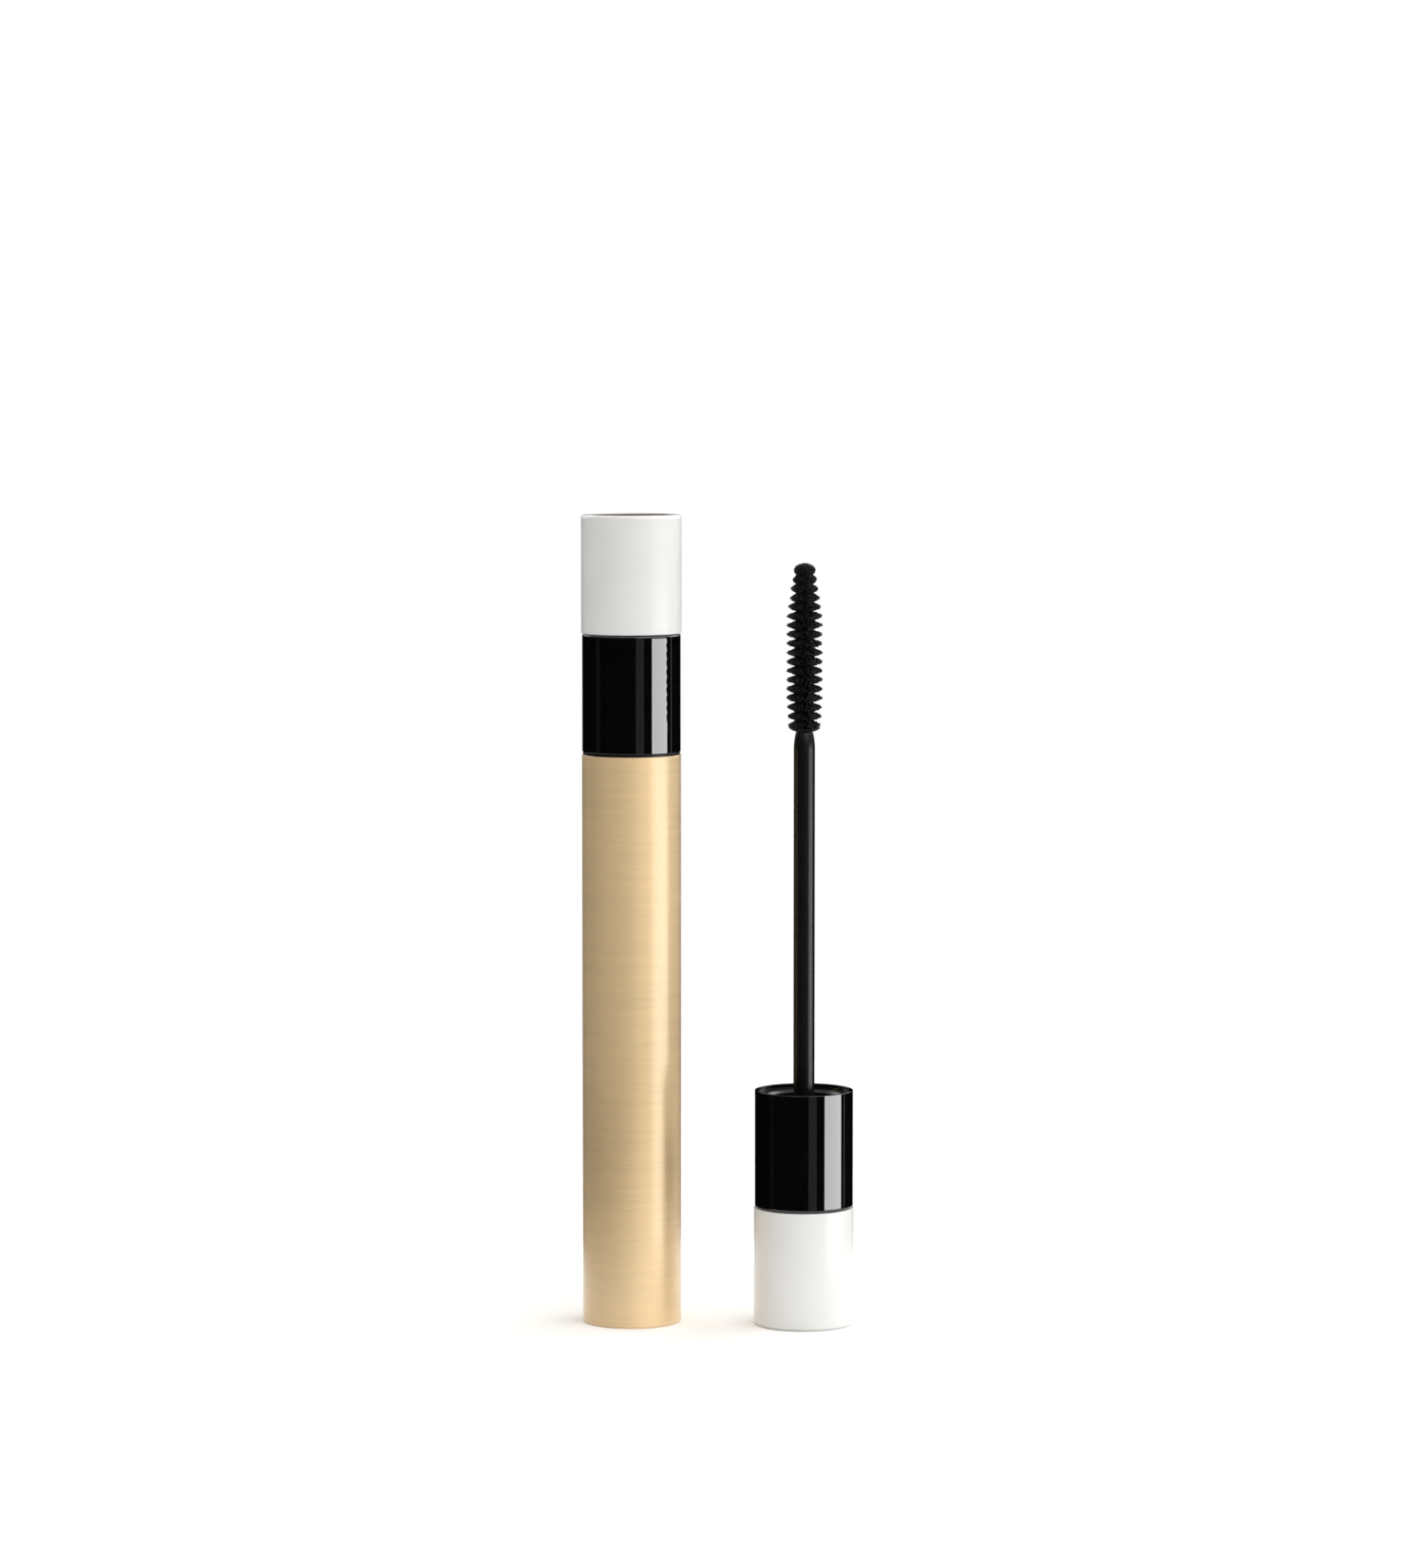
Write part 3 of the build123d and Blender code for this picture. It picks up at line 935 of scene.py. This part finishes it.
# --- stage ----------------------------------------------------------------------------
CAMERA_DISTANCE = 0.8833
CAMERA_HEIGHT = 0.1601
CAMERA_SIDE = 0.01309
CAMERA_TILT = 4.689
LENS = 125.9
SENSOR_WIDTH = 36.0
STAGE_RADIUS = 2.4
PANEL_DISTANCE = 1.2
FLAG_GAP = 0.7 * MM
FLAG_HEIGHTS = (0.018, 0.0395)
FLAG_SIDES = (-0.0086, -0.002)
NEAR_FLOOR = 0.08
FADE_START = 0.12
FADE_END = 0.4
FLOOR_COLOUR = (0.96, 0.955, 0.94, 1)


def plain_surface(name, colour, glow):
    """A stage surface: a plain diffuse or glowing one."""
    material = bpy.data.materials.new(name)
    material.use_nodes = True
    graph = Graph(material.node_tree)
    if glow:
        shader = graph.node("ShaderNodeEmission", None, {"Color": colour, "Strength": 1.0})["Emission"]
    else:
        shader = graph.node("ShaderNodeBsdfDiffuse", None, {"Color": colour})["BSDF"]
    graph.node("ShaderNodeOutputMaterial", None, {"Surface": shader})
    return material


def stage_object(name, mesh, material):
    mesh.materials.append(material)
    thing = bpy.data.objects.new(name, mesh)
    bpy.context.scene.collection.objects.link(thing)
    return thing


def flat_ring(name, inner, outer, segments=128):
    """A level ring, or a disc where inner is 0."""
    built = bmesh.new()
    outside = bmesh.ops.create_circle(built, cap_ends=not inner, segments=segments, radius=outer)["verts"]
    if inner:
        inside = bmesh.ops.create_circle(built, segments=segments, radius=inner)["verts"]
        for k in range(segments):
            after = (k + 1) % segments
            built.faces.new((inside[k], outside[k], outside[after], inside[after]))
    mesh = bpy.data.meshes.new(name)
    built.to_mesh(mesh)
    built.free()
    return mesh


def floor_white():
    """White paper that fades into the white backdrop away from the object."""
    material = bpy.data.materials.new("floor_white")
    material.use_nodes = True
    graph = Graph(material.node_tree)
    where = graph.node("ShaderNodeTexCoord")["Object"]
    parts = graph.node("ShaderNodeSeparateXYZ", None, {"Vector": where})
    away = (parts["X"] * parts["X"] + parts["Y"] * parts["Y"]) ** 0.5
    paper = graph.node("ShaderNodeBsdfDiffuse", None, {"Color": FLOOR_COLOUR})["BSDF"]
    glow = graph.node("ShaderNodeEmission", None, {"Color": (1, 1, 1, 1), "Strength": 1.0})["Emission"]
    values = {0: away.ramp(FADE_START, FADE_END), 1: paper, 2: glow}
    mixed = graph.node("ShaderNodeMixShader", None, values)["Shader"]
    graph.node("ShaderNodeOutputMaterial", None, {"Surface": mixed})
    return material


def add_floor():
    """The floor: a disc, and a ring round it. Only the disc shows in the gloss, as a sheet of paper would."""
    paper = floor_white()
    for name, inner, outer in (("near_floor", 0, NEAR_FLOOR), ("far_floor", NEAR_FLOOR, STAGE_RADIUS)):
        mesh = flat_ring(name, inner, outer)
        floor = stage_object(name, mesh, paper)
        floor.location = (MIDDLE_X, 0, 0)
        floor.visible_glossy = name == "near_floor"


def add_backdrop():
    """A white dome that only the camera sees, so that the lights alone shape the gloss."""
    built = bmesh.new()
    bmesh.ops.create_icosphere(built, subdivisions=4, radius=STAGE_RADIUS)
    mesh = bpy.data.meshes.new("backdrop")
    built.to_mesh(mesh)
    built.free()
    dome = stage_object("backdrop", mesh, plain_surface("backdrop_white", (1.0, 1.0, 1.0, 1), True))
    dome.visible_diffuse = False
    dome.visible_glossy = False
    dome.visible_transmission = False
    dome.visible_shadow = False


def add_flag():
    """A small black card beside the low collar, seen only in the gloss: it keeps the collar black."""
    low, high = FLAG_HEIGHTS
    beside = STANDING_X - collar_radius - FLAG_GAP
    near, far = FLAG_SIDES
    corners = [(beside, near, low), (beside, far, low), (beside, far, high), (beside, near, high)]
    mesh = bpy.data.meshes.new("black_flag")
    mesh.from_pydata(corners, [], [(0, 1, 2, 3)])
    flag = stage_object("black_flag", mesh, plain_surface("flag_black", (0, 0, 0, 1), False))
    flag.visible_camera = False
    flag.visible_diffuse = False
    flag.visible_shadow = False


def add_sky():
    """Soft light from above and from well below, and dark round the horizon, so the gloss stays black."""
    world = bpy.data.worlds.new("studio")
    world.use_nodes = True
    bpy.context.scene.world = world
    graph = Graph(world.node_tree)
    way = graph.node("ShaderNodeTexCoord")["Generated"]
    parts = graph.node("ShaderNodeSeparateXYZ", None, {"Vector": way})
    up = parts["Z"]
    overhead = up.ramp(0.2, 0.5) * (0.7 - 0.26 * parts["Y"])
    strength = overhead + 2.0 * (-up).ramp(0.37, 0.5)
    background = graph.node("ShaderNodeBackground", None, {"Color": (1, 1, 0.99, 1), "Strength": strength})
    graph.node("ShaderNodeOutputWorld", None, {"Surface": background["Background"]})


def add_panel(name, azimuth, elevation, width, height, radiance):
    """A soft box facing the pair. Azimuth is from the camera's side towards +X; angles in degrees."""
    light = bpy.data.lights.new(name, "AREA")
    light.shape = "RECTANGLE"
    light.size = 2 * PANEL_DISTANCE * math.tan(math.radians(width) / 2)
    light.size_y = 2 * PANEL_DISTANCE * math.tan(math.radians(height) / 2)
    light.energy = math.pi * light.size * light.size_y * radiance
    panel = bpy.data.objects.new(name, light)
    bpy.context.scene.collection.objects.link(panel)
    turn, rise = math.radians(azimuth), math.radians(elevation)
    away = Vector((math.sin(turn) * math.cos(rise), -math.cos(turn) * math.cos(rise), math.sin(rise)))
    panel.location = Vector((MIDDLE_X, 0, total_height / 2)) + away * PANEL_DISTANCE
    panel.rotation_euler = away.to_track_quat("Z", "Y").to_euler()
    panel.visible_camera = False


def add_lights():
    """A strip and a panel at the right make the stripes and the peak; the others open the sides."""
    add_panel("key_strip", azimuth=72.8, elevation=-6.8, width=47.0, height=12.5, radiance=6.0)
    add_panel("key_panel", azimuth=76.0, elevation=38.0, width=116.0, height=36.0, radiance=2.0)
    add_panel("edge_strip", azimuth=108.0, elevation=-4.0, width=2.5, height=20.0, radiance=0.55)
    add_panel("fill_panel", azimuth=20.0, elevation=-6.0, width=19.0, height=14.0, radiance=0.17)
    add_panel("left_strip", azimuth=-84.0, elevation=-6.0, width=12.0, height=14.0, radiance=0.035)
    add_panel("rear_panel", azimuth=134.0, elevation=26.0, width=44.0, height=34.0, radiance=1.5)
    add_panel("left_rear_panel", azimuth=-140.0, elevation=26.0, width=40.0, height=34.0, radiance=1.4)
    add_panel("top_panel", azimuth=0.0, elevation=86.0, width=40.0, height=40.0, radiance=1.2)


def add_camera():
    camera = bpy.data.objects.new("camera", bpy.data.cameras.new("camera"))
    bpy.context.scene.collection.objects.link(camera)
    camera.data.lens = LENS
    camera.data.sensor_width = SENSOR_WIDTH
    camera.location = (CAMERA_SIDE, -CAMERA_DISTANCE, CAMERA_HEIGHT)
    camera.rotation_euler = (math.radians(90 - CAMERA_TILT), 0, 0)
    camera.data.clip_start = 0.01
    bpy.context.scene.camera = camera


dress_hidden_nodes()
add_tube()
add_applicators()
add_floor()
add_backdrop()
add_flag()
add_sky()
add_lights()
add_camera()
bpy.context.scene.view_settings.view_transform = "Standard"
